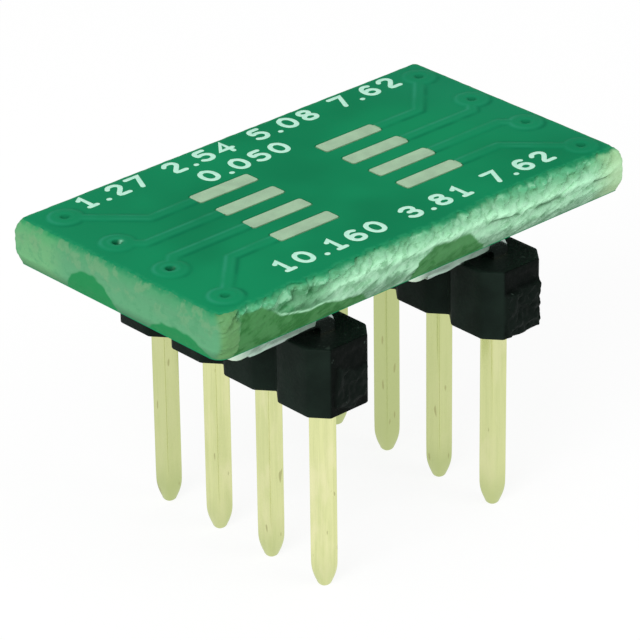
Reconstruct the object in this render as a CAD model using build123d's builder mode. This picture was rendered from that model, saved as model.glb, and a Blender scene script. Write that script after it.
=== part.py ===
from build123d import *
from math import atan2, degrees
import os

# Adapter board: a small scored circuit board that carries the pads of a surface-mount chip on its
# upper face and, soldered under it, two rows of square pins that plug into a dual in-line socket.
# The origin is the centre of the pin pattern on the plane of the pin tips. X runs along the board,
# across the two rows, Y runs along each row, and Z is up. All sizes are in millimetres.

# Board
board_end_margin = 0.3  # from the outermost foot pads to the ends of the board's faces
row_overhang = 0.32  # how far a plastic strip reaches past the board's faces at each end
core_thickness = 1.53
board_shift_x = -0.13  # the scored outline lies this far off the pin pattern
board_shift_y = 0.07
web_thickness = 0.4  # what the two V grooves left to be snapped
web_stand_out = 0.17  # how far the snapped web stands out beyond the faces at the long edges
end_stand_out = 0.11  # and at the short ends

# Copper and solder mask
copper_foil = 0.035
mask_film = 0.025
mask_wall = 0.05  # mask on the flanks of a covered track
mask_clearance = 0.05  # gap from a bare pad to the edge of its window
track_width = 0.3

# Chip pads on the upper face
chip_pitch = 1.27
chip_pad_inner = 1.5  # from the centre line to the near end of a pad
chip_pad_outer = 3.98
chip_pad_width = 0.6
pad_corner = 0.1  # radius at the corners of every bare pad

# Plated holes between the two faces
via_inset = 0.94  # from the hole to the end of the board's faces
via_land = 1.1  # across the flats of its outline
via_land_sides = 16
via_drill = 0.4
via_plating = 0.03
dimple_diameter = 0.5  # where the mask sags over the hole
dimple_depth = 0.018

# Pin rows
pins_per_row = 4
pin_pitch = 2.54
row_spacing = 7.62
pin_side = 0.64
pin_free_length = 6.8  # below the plastic
tip_length = 0.8
tip_side = 0.36
tip_bevel = 0.06
bend_radius = 0.52  # on the centre line of the wire
foot_reach = 3.3  # from the pin's centre to the end of its foot

# Plastic strips
strip_width = 2.54
strip_height = 2.42
notch_depth = 0.48
notch_length = 0.58
foot_clearance = 0.31  # from the plastic up to the foot

# Snapped ends of the plastic strips
stub_depth_left = 0.08
stub_depth_right = 0.15
stub_depth_back = 0.1

# Underside pads and solder
foot_pad_behind = 0.15  # from the pin's centre away from the foot
foot_pad_ahead = 4.6
foot_pad_width = 1.6
solder_film = 0.02  # between foot and pad
solder_toe = 1.05  # past the end of the foot, on the pad
solder_edge = 0.06  # bare rim of the pad round the solder
solder_climb = 0.52  # how far the fillet reaches down the foot
solder_skin = 0.035  # at the fillet's thin end
solder_corner = 0.16
solder_waist = 0.35  # share of the spread that is left at half the climb

# Sizes of the board's faces and of the rows
row_length = pins_per_row * pin_pitch
board_length = row_spacing + 2 * (foot_pad_ahead + board_end_margin)
board_width = row_length - 2 * row_overhang
via_x = board_length / 2 - via_inset

# Heights, from the tips up
strip_bottom_z = pin_free_length
strip_top_z = strip_bottom_z + strip_height
foot_bottom_z = strip_top_z + foot_clearance
foot_top_z = foot_bottom_z + pin_side
foot_pad_z = foot_top_z + solder_film
core_bottom_z = foot_pad_z + copper_foil
core_top_z = core_bottom_z + core_thickness
cut_over = 0.2  # how far a cutting shape runs past what it cuts

os.makedirs("parts", exist_ok=True)


class Channel:
    """One of the eight ways from a chip pad to a pin, numbered round the board as a chip's legs are."""

    def __init__(self, number):
        steps = number - 1
        self.number = number
        self.side = -1 if steps < pins_per_row else 1
        down = steps if self.side < 0 else 2 * pins_per_row - 1 - steps
        rank = (pins_per_row - 1) / 2 - down
        self.pin = (self.side * row_spacing / 2, rank * pin_pitch)
        self.via = (self.side * via_x, rank * pin_pitch)
        self.pad_y = rank * chip_pitch
        self.foot = 1 if down % 2 == 0 else -1

    def chip_pad(self):
        """Centre and size of the bare pad on the upper face."""
        centre = (self.side * (chip_pad_inner + chip_pad_outer) / 2, self.pad_y)
        return centre, (chip_pad_outer - chip_pad_inner, chip_pad_width)

    def foot_pad(self):
        """Centre and size of the bare pad under the board."""
        centre_x = self.pin[0] + self.foot * (foot_pad_ahead - foot_pad_behind) / 2
        return (centre_x, self.pin[1]), (foot_pad_ahead + foot_pad_behind, foot_pad_width)

    def upper_route(self):
        """The track on the upper face: straight out from the pad, then at 45 degrees to the hole."""
        jog = abs(self.via[1] - self.pad_y)
        start = (self.side * (chip_pad_outer - chip_pad_width / 2), self.pad_y)
        corner = (self.side * (via_x - jog), self.pad_y)
        return (start, corner, self.via)

    def lower_route(self):
        """The track under the board, from the hole to the middle of the foot's pad."""
        return (self.via, self.foot_pad()[0])


def strip_between(start, end, width):
    """Adds to a sketch a strip with round ends between two points."""
    run_x, run_y = end[0] - start[0], end[1] - start[1]
    with Locations(((start[0] + end[0]) / 2, (start[1] + end[1]) / 2)):
        SlotCenterToCenter(
            (run_x**2 + run_y**2) ** 0.5, width, rotation=degrees(atan2(run_y, run_x))
        )


def covered_copper(channel, route, margin=0.0):
    """Adds to a sketch the track and land of one channel, wider by the margin on every side."""
    for start, end in zip(route, route[1:]):
        strip_between(start, end, track_width + 2 * margin)
    with Locations(channel.via):
        RegularPolygon(via_land / 2 + margin, via_land_sides, major_radius=False)


def bare_pad(pad, margin=0.0):
    """Adds to a sketch a pad with rounded corners, wider by the margin on every side."""
    centre, size = pad
    with Locations(centre):
        RectangleRounded(size[0] + 2 * margin, size[1] + 2 * margin, pad_corner + margin)


def finish(piece, name):
    """Labels a finished piece and writes it."""
    piece.part.label = name
    export_step(piece.part, f"parts/{name}.step")


channels = [Channel(number) for number in range(1, 2 * pins_per_row + 1)]
via_points = [channel.via for channel in channels]

# Laminate core: a hexagonal edge all round, where V grooves from both faces left a web that was snapped
with BuildPart() as board_core:
    groove_depth = (core_thickness - web_thickness) / 2
    for level, grow_x, grow_y in ((0, 0, 0), (groove_depth, end_stand_out, web_stand_out)):
        with BuildSketch(Plane.XY.offset(core_bottom_z + level)):
            with Locations((board_shift_x, board_shift_y)):
                Rectangle(board_length + 2 * grow_x, board_width + 2 * grow_y)
    loft(ruled=True)
    extrude(board_core.faces().sort_by(Axis.Z)[-1], amount=web_thickness)
    for level, grow_x, grow_y in ((groove_depth, end_stand_out, web_stand_out), (0, 0, 0)):
        with BuildSketch(Plane.XY.offset(core_top_z - level)):
            with Locations((board_shift_x, board_shift_y)):
                Rectangle(board_length + 2 * grow_x, board_width + 2 * grow_y)
    loft(ruled=True)
    with Locations(*[(x, y, core_top_z) for x, y in via_points]):
        Hole(via_drill / 2)
finish(board_core, "board_core")


def mask_layer(face_z, up, pads, routes):
    """Solder mask on one face: a film with a window at each bare pad, raised where it covers copper."""
    with BuildPart() as mask:
        with BuildSketch(Plane.XY.offset(face_z)):
            with Locations((board_shift_x, board_shift_y)):
                Rectangle(board_length, board_width)
        extrude(amount=up * mask_film)
        with BuildSketch(Plane.XY.offset(face_z)):
            for channel, route in zip(channels, routes):
                covered_copper(channel, route, mask_wall)
        extrude(amount=up * (copper_foil + mask_film))
        with BuildSketch(Plane.XY.offset(face_z)):
            for channel, route in zip(channels, routes):
                covered_copper(channel, route)
        extrude(amount=up * copper_foil, mode=Mode.SUBTRACT)
        with BuildSketch(Plane.XY.offset(face_z)):
            for pad in pads:
                bare_pad(pad, mask_clearance)
        extrude(amount=up * (copper_foil + mask_film), mode=Mode.SUBTRACT)
        outer_z = face_z + up * (copper_foil + mask_film)
        radii = (0, dimple_diameter / 2)[::up]
        with Locations(*[(x, y, outer_z - up * dimple_depth / 2) for x, y in via_points]):
            Cone(*radii, dimple_depth, mode=Mode.SUBTRACT)
    return mask


# Solder mask on the two faces
top_mask = mask_layer(
    core_top_z,
    1,
    [channel.chip_pad() for channel in channels],
    [channel.upper_route() for channel in channels],
)
finish(top_mask, "top_mask")
bottom_mask = mask_layer(
    core_bottom_z,
    -1,
    [channel.foot_pad() for channel in channels],
    [channel.lower_route() for channel in channels],
)
finish(bottom_mask, "bottom_mask")

# Copper: each channel's pad, track and land on both faces with the plated hole that joins them
for channel in channels:
    with BuildPart() as copper:
        with BuildSketch(Plane.XY.offset(core_top_z)):
            covered_copper(channel, channel.upper_route())
            bare_pad(channel.chip_pad())
        extrude(amount=copper_foil)
        with BuildSketch(Plane.XY.offset(core_bottom_z)):
            covered_copper(channel, channel.lower_route())
            bare_pad(channel.foot_pad())
        extrude(amount=-copper_foil)
        with BuildSketch(Plane.XY.offset(core_bottom_z)):
            with Locations(channel.via):
                Circle(via_drill / 2)
        extrude(amount=core_thickness)
        with Locations((*channel.via, core_top_z + copper_foil)):
            Hole(via_drill / 2 - via_plating)
    finish(copper, f"copper_{channel.number}")


def snapped_stub(row_x, end, depth, outline):
    """Adds what is left of the web that joined a strip to the next one, where it was snapped off.
    The outline is in shares of the neck's width and of the strip's height."""
    neck = strip_width - 2 * notch_depth
    face = Plane((row_x, end * row_length / 2, strip_bottom_z), x_dir=(1, 0, 0), z_dir=(0, end, 0))
    with BuildSketch(face) as stub:
        with BuildLine():
            Polyline(
                *[(across * neck, -end * height * strip_height) for across, height in outline],
                close=True,
            )
        make_face()
    extrude(stub.sketch, amount=depth)


# Snapped webs, as outlines of what stands proud of the end face
front_left_stub = ((-0.42, 0.12), (0.1, 0.05), (0.47, 0.22), (0.5, 0.62), (0.2, 0.56), (-0.3, 0.7))
front_right_stub = ((-0.5, 0.02), (0.12, 0.0), (0.3, 0.07), (0.5, 0.04), (0.5, 0.72), (-0.5, 0.66))
back_stub = ((-0.5, 0.2), (0.05, 0.1), (0.5, 0.16), (0.5, 0.8), (-0.1, 0.88), (-0.5, 0.74))

# Plastic strips: a chain of eight-sided blocks, one for each pin, with square holes for the pins
strips = (
    ("pin_strip_left", -1, front_left_stub, stub_depth_left),
    ("pin_strip_right", 1, front_right_stub, stub_depth_right),
)
for strip_name, side, front_stub, front_depth in strips:
    row_x = side * row_spacing / 2
    row_pins = [channel.pin for channel in channels if channel.side == side]
    with BuildPart() as strip:
        with BuildSketch(Plane.XY.offset(strip_bottom_z)) as outline:
            with Locations(*row_pins):
                Rectangle(strip_width, pin_pitch)
            cut_corners = [
                (row_x + across * strip_width / 2, y + along * pin_pitch / 2)
                for across in (-1, 1)
                for along in (-1, 1)
                for _, y in row_pins
            ]
            with BuildLine():
                Polyline((-notch_depth, 0), (0, -notch_length), (notch_depth, 0), (0, notch_length), close=True)
            notch = make_face(mode=Mode.PRIVATE)
            with Locations(*cut_corners):
                add(notch, mode=Mode.SUBTRACT)
        extrude(amount=strip_height)
        snapped_stub(row_x, -1, front_depth, front_stub)
        snapped_stub(row_x, 1, stub_depth_back, back_stub)
        with BuildSketch(Plane.XY.offset(strip_bottom_z)):
            with Locations(*row_pins):
                Rectangle(pin_side, pin_side)
        extrude(amount=strip_height, mode=Mode.SUBTRACT)
    finish(strip, strip_name)

# Pins: square wire with a coined tip, bent over the plastic into a foot, to the two sides in turn
pins = {}
for channel in channels:
    x, y = channel.pin
    along_foot = Plane((x, y, 0), x_dir=(channel.foot, 0, 0), z_dir=(0, -channel.foot, 0))
    across_foot = Plane((x, y, 0), x_dir=(0, 1, 0), z_dir=(1, 0, 0))
    with BuildPart() as pin:
        with BuildLine(along_foot) as wire_path:
            FilletPolyline(
                (0, 0),
                (0, foot_bottom_z + pin_side / 2),
                (foot_reach, foot_bottom_z + pin_side / 2),
                radius=bend_radius,
            )
        with BuildSketch(Plane((x, y, 0))):
            Rectangle(pin_side, pin_side)
        sweep(path=wire_path.wire())
        for plane in (along_foot, across_foot):
            with BuildSketch(plane):
                with BuildLine():
                    TangentArc((pin_side / 2, tip_length), (tip_side / 2, 0), tangent=(0, -1))
                    Polyline(
                        (tip_side / 2, 0),
                        (tip_side / 2, -cut_over),
                        (pin_side / 2 + cut_over, -cut_over),
                        (pin_side / 2 + cut_over, tip_length),
                        (pin_side / 2, tip_length),
                    )
                make_face()
                mirror(about=Plane.YZ)
            extrude(amount=pin_side, both=True, mode=Mode.SUBTRACT)
        chamfer(pin.faces().sort_by(Axis.Z)[0].edges(), tip_bevel)
    pins[channel.number] = pin
    finish(pin, f"pin_{channel.number}")

# Solder: a fillet round each foot, hollow in outline, long at the toe and open at the heel
for channel in channels:
    x, y = channel.pin
    thin = pin_side / 2 + solder_skin
    wide = foot_pad_width / 2 - solder_edge
    heel = bend_radius
    with BuildPart() as solder:
        for share, fall in ((1, 0), (solder_waist, 0.5), (0, 1)):
            half_width = thin + share * (wide - thin)
            toe = foot_reach + solder_skin + share * (solder_toe - solder_skin)
            with BuildSketch(Plane.XY.offset(foot_pad_z - fall * solder_climb)) as level:
                with Locations((x + channel.foot * (toe + heel) / 2, y)):
                    Rectangle(toe - heel, 2 * half_width)
                chamfer(level.vertices(), solder_corner)
        loft()
        add(pins[channel.number].part, mode=Mode.SUBTRACT)
    finish(solder, f"solder_{channel.number}")
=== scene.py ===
from math import cos, hypot, pi, radians, sin

import bmesh
import bpy
import numpy as np
from bpy.props import FloatProperty, FloatVectorProperty, PointerProperty
from mathutils import Matrix, Vector


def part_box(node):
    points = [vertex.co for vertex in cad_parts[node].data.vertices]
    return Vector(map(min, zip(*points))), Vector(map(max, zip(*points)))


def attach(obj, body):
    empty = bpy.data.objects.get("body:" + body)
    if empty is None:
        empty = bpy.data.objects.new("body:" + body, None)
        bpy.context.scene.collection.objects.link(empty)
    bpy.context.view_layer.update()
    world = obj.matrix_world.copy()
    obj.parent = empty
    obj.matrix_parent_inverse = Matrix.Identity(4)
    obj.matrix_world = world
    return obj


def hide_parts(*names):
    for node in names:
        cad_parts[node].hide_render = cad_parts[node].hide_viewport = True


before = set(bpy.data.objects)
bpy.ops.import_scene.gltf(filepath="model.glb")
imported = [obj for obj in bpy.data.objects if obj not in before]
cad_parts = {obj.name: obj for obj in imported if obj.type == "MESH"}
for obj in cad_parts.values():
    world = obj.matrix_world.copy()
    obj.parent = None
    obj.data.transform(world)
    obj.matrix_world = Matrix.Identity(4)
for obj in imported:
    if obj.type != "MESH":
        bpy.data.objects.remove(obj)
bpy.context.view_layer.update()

bl_info = {
    "name": "Adapter Board",
    "version": (1, 0, 0),
    "blender": (4, 5, 0),
    "location": "3D View > Sidebar > Adapter Board",
    "description": "Dresses the frame of a small adapter board on two rows of pins",
    "category": "Object",
}

# Shapes are worked out in millimetres and put into their meshes in metres
MM = 0.001

# Sizes that the solids also have
PIN_PITCH, ROW_SPACING, PINS_PER_ROW = 2.54, 7.62, 4
CHIP_PITCH, PAD_CORNER = 1.27, 0.1
CHIP_PAD_INNER, CHIP_PAD_OUTER, CHIP_PAD_WIDTH = 1.5, 3.98, 0.6
MASK_FILM, MASK_CLEARANCE, COPPER_FOIL = 0.025, 0.05, 0.035
TRACK_WIDTH, LAND_WIDTH, VIA_DRILL, VIA_X = 0.3, 1.1, 0.4, 7.77
FOOT_PAD_AHEAD, FOOT_PAD_WIDTH = 4.6, 1.6
WEB_THICKNESS, WEB_STAND_OUT = 0.4, 0.17
NOTCH_DEPTH, NOTCH_LENGTH = 0.48, 0.58
PIN_SIDE, BEND_RADIUS, FOOT_REACH, TIP_LENGTH = 0.64, 0.52, 3.3, 0.8
SOLDER_FILM, SOLDER_EDGE, SOLDER_SKIN = 0.02, 0.06, 0.035

# Sizes that differ a little from the solids', because wear and solder change them
END_STAND_OUT = 0.13
BACK_CORNER, FRONT_LEFT_CORNER, FRONT_RIGHT_CORNER = 0.2, 0.45, 0.08
TIP_SIDE, TIP_BEVEL = 0.4, 0.03
SOLDER_CLIMB, SOLDER_TOE = 0.56, FOOT_PAD_AHEAD - FOOT_REACH

# The snapped front edge. A stretch along x starts, is full, begins to end and has ended
OUTLINE_STEP, EDGE_RINGS = 0.05, 46
FIBRE_LEAN = 0.35  # rise of the torn fibres along x
RIDGES = ((11.2, 0.03), (10.77, 0.02))  # height and depth
RIDGE_WIDTH = 0.1
CRACK_Z, CRACK_WIDTH, CRACK_DEPTH = 11.0, 0.03, 0.05
CALM_X = (7.9, 8.5)  # the tearing fades out along this stretch
LONG_FIBRES, SHORT_FIBRES, CRUMBS = (0.8, 0.8, 0.12), (0.3, 0.3, 0.15), (0.3, 0.3, 0.14)  # noise cells
SLOW_WAVE, RIM_CHIP = (0.9, 0.9, 1), (0.3, 0.3, 1)  # noise cells along the rim
CRACK_START = (1.5, 3.0)  # along this stretch of x the crack fades in
TOP_ROUNDING, TOP_ROUNDING_HEIGHT = 0.05, 0.07
CAP_INSETS = (0.8, 0.4)  # of the ring inside the edge, on the top and on the bottom
LONG_BREAK, LONG_BREAK_DEPTH = (0.8, 3.0, 6.2, 7.9), 0.22
# Where along x a painted highlight line runs on the border of the front edge's painted shadow
HIGHLIGHT_STRETCH = (-6.8, -6.3, -5.0, -3.2)

# The upper mask: its grid, its rolled rim, and the holes by the number of their channel
MASK_STEP, HOLE_LINES = 0.066, np.linspace(-0.2, 0.2, 11)
RIM_REACH = 1.1  # how far in the grid gives way to the rim's chips
RIM_SETBACK, RIM_FALL, RIM_FALL_WIDTH = 0.055, 0.022, 0.06
WINDOW_FADE = 0.08  # how fast the rounding of a window's corner dies away outside it
CORNER_FADE = 0.3  # and that of the board's corner, inwards
# The painted shade in a sunk hole reaches out to the second radius
DIMPLE_RADIUS, HOLE_SHADE_RADIUS = 0.125, 0.165  # of the sunk mask, and of its dark tone
LIP_RADIUS, LIP_HEIGHT, LIP_WIDTH = 0.31, 0.018, 0.08
RING_RADIUS, RING_WIDTH = 0.27, 0.06
COPPER_SLOPE, MASK_WAVE = (-0.03, 0.1), 0.003  # across the copper's edge, and up and down everywhere
# The shoulder's lighter tone is partly thinner film and partly painted highlight; the foot's is painted
# shadow
THIN_FILM_AND_HIGHLIGHT, FOOT_SHADOW = (-0.03, 0.06), (0.11, 0.07)  # how far off the copper's edge a tone lies, and its width
SUNK_HOLES, SUNK_ELSEWHERE = {2: 1.0, 3: 1.0}, 0.4  # shares of the depth
BRIGHT_RINGS, BRIGHT_ELSEWHERE = {2: 0.6, 3: 1.3}, 0.1
GLINTS = {2: 0.9, 3: 0.1}
GLINT_PLACE, GLINT_SIZE = (0.15, -0.02), (0.05, 0.07)

# The strips' grid: rings up a strip, points along an end and along another side, and its soft corners
STRIP_RINGS, END_POINTS, SIDE_POINTS = 40, 36, 5
STRIP_CORNER = 0.045
STUB_WAVE, STUB_CHIPS = (0.3, 0.3, 0.3), (0.22, 0.22, 0.22)  # noise cells
STUB_FLAW = 0.02  # depth of the chips beside a stub
CAP_SHARE = 0.12  # how far in a strip's inner ring lies on its way to the row's line

# The pins and their solder. A section's power is 2 for a circle and grows towards a square
NOSE_POWER, TIP_POWER, SHANK_POWER = 2.4, 9.0, 16.0
PIN_END_ROUND = 0.03
SOLDER_POINTS, SOLDER_RINGS = 96, 14
FLANK_POWER, RIM_POWER, INNER_POWER = 14, 7, 30
SOLDER_HOLLOW, SOLDER_BULGE = 1.55, 0.24
# The painted shade of each pin: darker at the back and in the right row
PIN_SHADE = {1: 0.7, 2: 0.3, 3: 0.3, 4: 0.05, 5: 0.45, 6: 0.7, 7: 1.0, 8: 1.0}  # of each pin

# Upper border of the painted shadow where a foot pad's copper, just behind the edge, keeps light
# from passing through the laminate: places along the front edge and along the left edge, with heights;
# the other two edges have them turned half round
FRONT_SHADE = (
    (-8.8, -8.3, -8.0, -7.1, -6.4, -5.5, -4.6, -3.6, -2.9, -2.6, -0.9, -0.6, 0.1, 0.9, 1.7, 2.3, 2.7),
    (10.0, 10.0, 11.6, 11.5, 11.0, 10.85, 10.8, 10.6, 10.5, 10.0, 10.0, 10.8, 11.1, 11.1, 11.0, 10.4, 10.0),
)
LEFT_SHADE = (
    (-4.6, -4.3, -3.6, -2.9, -2.2, -1.8, -1.3, -0.1, 0.1, 0.5, 1.1, 1.6, 2.1, 2.4, 2.5),
    (10.0, 10.3, 10.7, 10.75, 10.7, 10.5, 10.1, 10.0, 10.4, 10.9, 11.15, 11.1, 10.8, 10.4, 10.0),
)

# Snapped ends of the strips: what stands proud, in shares of the neck's width and of the height
FRONT_LEFT_STUB = ((-0.42, 0.12), (0.1, 0.05), (0.47, 0.22), (0.5, 0.62), (0.2, 0.56), (-0.3, 0.7))
FRONT_RIGHT_STUB = ((-0.5, 0.02), (0.12, 0.0), (0.3, 0.07), (0.5, 0.04), (0.5, 0.72), (-0.5, 0.66))
BACK_STUB = ((-0.5, 0.2), (0.05, 0.1), (0.5, 0.16), (0.5, 0.8), (-0.1, 0.88), (-0.5, 0.74))
STRIP_ROWS = (
    ("left", -1, (FRONT_LEFT_STUB, 0.08), (BACK_STUB, 0.1)),
    ("right", 1, (FRONT_RIGHT_STUB, 0.15), (BACK_STUB, 0.1)),
)

# Fixed tones: a painted glint in a hole, tin darkened as painted shade, and the pads' light and dark pits
GLINT_COLOUR, SHADED_TIN_COLOUR = (0.3, 0.75, 0.5), (0.32, 0.4, 0.36)
LIGHT_PITS, DARK_PITS = (0.52, 0.6, 0.42), (0.22, 0.42, 0.24)

# Numerals as strokes in a cell 4 wide and 6 high; a list holds the points of one stroke
CELL_WIDTH, CELL_HEIGHT = 4, 6
STROKES = {
    "0": [[(2, 6), (0.7, 5.4), (0.1, 3.9), (0.1, 2.1), (0.7, 0.6), (2, 0),
           (3.3, 0.6), (3.9, 2.1), (3.9, 3.9), (3.3, 5.4), (2, 6)]],
    "1": [[(1, 5), (2.2, 6), (2.2, 0)], [(1, 0), (3.4, 0)]],
    "2": [[(0.2, 4.8), (0.9, 5.8), (2, 6), (3.2, 5.7), (3.8, 4.6), (3.4, 3.4), (0.2, 0), (3.9, 0)]],
    "3": [[(0.3, 5.2), (1.2, 6), (2.8, 6), (3.7, 5.2), (3.6, 3.9), (2.6, 3.2), (1.6, 3.2)],
          [(2.6, 3.2), (3.8, 2.4), (3.8, 0.9), (2.8, 0), (1.2, 0), (0.2, 0.9)]],
    "4": [[(3, 0), (3, 6), (0.1, 1.9), (4, 1.9)]],
    "5": [[(3.6, 6), (0.6, 6), (0.4, 3.4), (1.6, 3.9), (2.9, 3.7), (3.8, 2.7),
           (3.8, 1.3), (2.9, 0.2), (1.3, 0), (0.2, 0.8)]],
    "6": [[(3.5, 5.5), (2.4, 6), (1.1, 5.4), (0.3, 3.8), (0.2, 1.6), (1, 0.3), (2.2, 0),
           (3.5, 0.5), (3.9, 1.8), (3.3, 3.1), (2, 3.5), (0.7, 3), (0.2, 2)]],
    "7": [[(0.2, 6), (3.9, 6), (1.4, 0)]],
    "8": [[(2, 3.2), (0.8, 3.7), (0.4, 4.7), (0.9, 5.7), (2, 6), (3.1, 5.7),
           (3.6, 4.7), (3.2, 3.7), (2, 3.2), (0.6, 2.6), (0.1, 1.5), (0.7, 0.3),
           (2, 0), (3.3, 0.3), (3.9, 1.5), (3.4, 2.6), (2, 3.2)]],
    ".": [[(0.5, 0.1), (0.7, 0.1)]],
}
NARROW = {".": 0.5, " ": 0.75}  # advances, in shares of a numeral's
INK_THICKNESS, INK_SINK = 0.012, 0.004
# A stroke's section, in shares of half its width and of its thickness
INK_SECTION = ((0.0, 0.0), (1.0, 0.0), (1.0, 0.6), (0.85, 1.0), (0.0, 1.0))
STROKE_STEP, STROKE_CLIMB = 0.005, 0.004  # from stroke to stroke, and along one

# Printed numbers: the text and where it starts
PRINT_ROWS = (
    ("1.27 2.54 5.08 7.62", (-6.85, 3.83)),
    ("0.050", (-2.72, 2.58)),
    ("10.160", (-5.37, -3.87)),
    ("3.81 7.62", (0.1, -3.87)),
)

# The camera, fitted to the photo: its place, its turn, tilt and roll in degrees, and its focal length
EYE = (-83.1287, -90.542, 70.3464)
TURN, TILT, ROLL = 42.4254, 27.3546, -0.7474
FOCAL_PIXELS, IMAGE_PIXELS, SENSOR_WIDTH = 4236.28, 640, 36
LIGHT_AIM = (0, 0, 8)
# Soft lights: name, place, size and share of the key light's power
LIGHTS = (("key", (-140, -50, 110), 110, 1.0), ("fill", (60, -130, 110), 90, 0.3))
SKY_SEEN, FLOOR_SEEN = 1.02, 1.03  # brightness of the plain white background
FLOOR_REACH, FLOOR_LINES = 400, 9
FLOOR_COLOUR, WHITE = (0.97, 0.97, 0.97, 1), (1, 1, 1, 1)


def in_mm(length):
    """A setting's length in millimetres."""
    return length / MM


def node_box(name):
    """Lowest and highest corner of a CAD node, in millimetres."""
    low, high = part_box(name)
    return np.array(low) / MM, np.array(high) / MM


def smooth(low, high, value):
    """A ramp from 0 at low to 1 at high, as a cubic that is level at both ends."""
    t = np.clip((value - low) / (high - low), 0, 1)
    return t * t * (3 - 2 * t)


def stretch(value, start, full, ending, end):
    """1 from full to ending and 0 outside start and end, with smooth ramps."""
    return smooth(start, full, value) * (1 - smooth(ending, end, value))


def bell(value, middle, width, power=2):
    """A bump that is 1 at the middle and falls as exp(-(distance / width) ** power)."""
    return np.exp(-(((value - middle) / width) ** power))


def lattice_noise(points, cell, seed):
    """Smooth noise from -1 to 1: hashed values at the corners of a box lattice, blended by cubics."""
    scaled = np.asarray(points, float) / np.asarray(cell, float)
    base = np.floor(scaled).astype(np.int64)
    t = scaled - base
    t = t * t * (3 - 2 * t)
    total = np.zeros(scaled.shape[:-1])
    for corner in np.ndindex(2, 2, 2):
        k = base + np.array(corner)
        mixed = (k[..., 0] * 73856093) ^ (k[..., 1] * 19349663) ^ (k[..., 2] * 83492791) ^ (seed * 40503)
        mixed = ((mixed ^ (mixed >> 13)) * 1274126177) & 0x7FFFFFFF
        mixed = (mixed ^ (mixed >> 15)) & 0xFFFF
        weight = np.prod(np.where(np.array(corner) == 1, t, 1 - t), axis=-1)
        total += weight * (mixed / 32767.5 - 1)
    return total


def rough(points, cell, seed, octaves=3):
    """Noise with finer layers added, each half as large and half as strong."""
    cell = np.asarray(cell, float)
    return sum(lattice_noise(points, cell / 2**k, seed + k) / 2**k for k in range(octaves))


def band_faces(rows, columns):
    """Quads between the rows of a grid whose columns close into a ring."""
    i, j = np.meshgrid(np.arange(rows - 1), np.arange(columns), indexing="ij")
    k = (j + 1) % columns
    quads = np.stack([i * columns + j, i * columns + k, (i + 1) * columns + k, (i + 1) * columns + j], -1)
    return quads.reshape(-1, 4)


def outward(points, faces):
    """The faces, turned over if the closed surface's signed volume is negative."""
    a, b, c, d = (points[faces[:, k]] for k in range(4))
    volume = np.einsum("ij,ij->", a, np.cross(b, c)) + np.einsum("ij,ij->", a, np.cross(c, d))
    return faces if volume > 0 else faces[:, ::-1]


def join_board(piece, material, slot, replaces=()):
    """Links a piece into the scene, gives it its material, hides the solids that it replaces and lets it ride
    on the root. The slot is not used.
    """
    bpy.context.scene.collection.objects.link(piece)
    piece.data.materials.append(material)
    if replaces:
        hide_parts(*replaces)
    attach(piece, "root")
    return piece


def make_piece(name, points, faces, material, slot, replaces=(), values=None, crease=40.0):
    """Puts a surface into a mesh, without the points that no face uses, and closes its seams and poles."""
    used, index = np.unique(faces, return_inverse=True)
    points, faces = points[used], index.reshape(faces.shape)
    mesh = bpy.data.meshes.new(name)
    mesh.from_pydata((points * MM).tolist(), [], outward(points, faces).tolist())
    for label, numbers in (values or {}).items():
        layer = mesh.attributes.new(label, "FLOAT", "POINT")
        layer.data.foreach_set("value", np.ascontiguousarray(numbers[used], np.float32))
    work = bmesh.new()
    work.from_mesh(mesh)
    bmesh.ops.remove_doubles(work, verts=work.verts, dist=1e-7)
    work.to_mesh(mesh)
    work.free()
    mesh.shade_smooth()
    mesh.set_sharp_from_angle(angle=radians(crease))
    return join_board(bpy.data.objects.new(name, mesh), material, slot, replaces)


def make_rings(name, rings, values, material, slot, node, crease=40.0):
    """Makes a piece of a stack of closed rings and of the values at their points."""
    faces = band_faces(*rings.shape[:2])
    values = {label: numbers.ravel() for label, numbers in values.items()}
    return make_piece(name, rings.reshape(-1, 3), faces, material, slot, [node], values, crease)


def drill(piece, places, radius, low, high):
    """Cuts round holes through a piece along z, by a Boolean with one cutter, applied at once."""
    work = bmesh.new()
    for x, y in places:
        where = Matrix.Translation(Vector((x, y, (low + high) / 2)) * MM)
        bmesh.ops.create_cone(
            work, cap_ends=True, segments=32, radius1=radius * MM, radius2=radius * MM,
            depth=(high - low + 1) * MM, matrix=where,
        )
    mesh = bpy.data.meshes.new("cutter")
    work.to_mesh(mesh)
    work.free()
    cutter = bpy.data.objects.new("cutter", mesh)
    bpy.context.scene.collection.objects.link(cutter)
    holes = piece.modifiers.new("holes", "BOOLEAN")
    holes.object = cutter
    holes.solver = "MANIFOLD"
    bpy.context.view_layer.update()
    graph = bpy.context.evaluated_depsgraph_get()
    drilled = bpy.data.meshes.new_from_object(piece.evaluated_get(graph))
    if len(drilled.vertices) == len(piece.data.vertices):
        raise RuntimeError("the holes were not cut")
    piece.modifiers.clear()
    piece.data = drilled
    bpy.data.objects.remove(cutter)
    bpy.data.meshes.remove(mesh)


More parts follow.
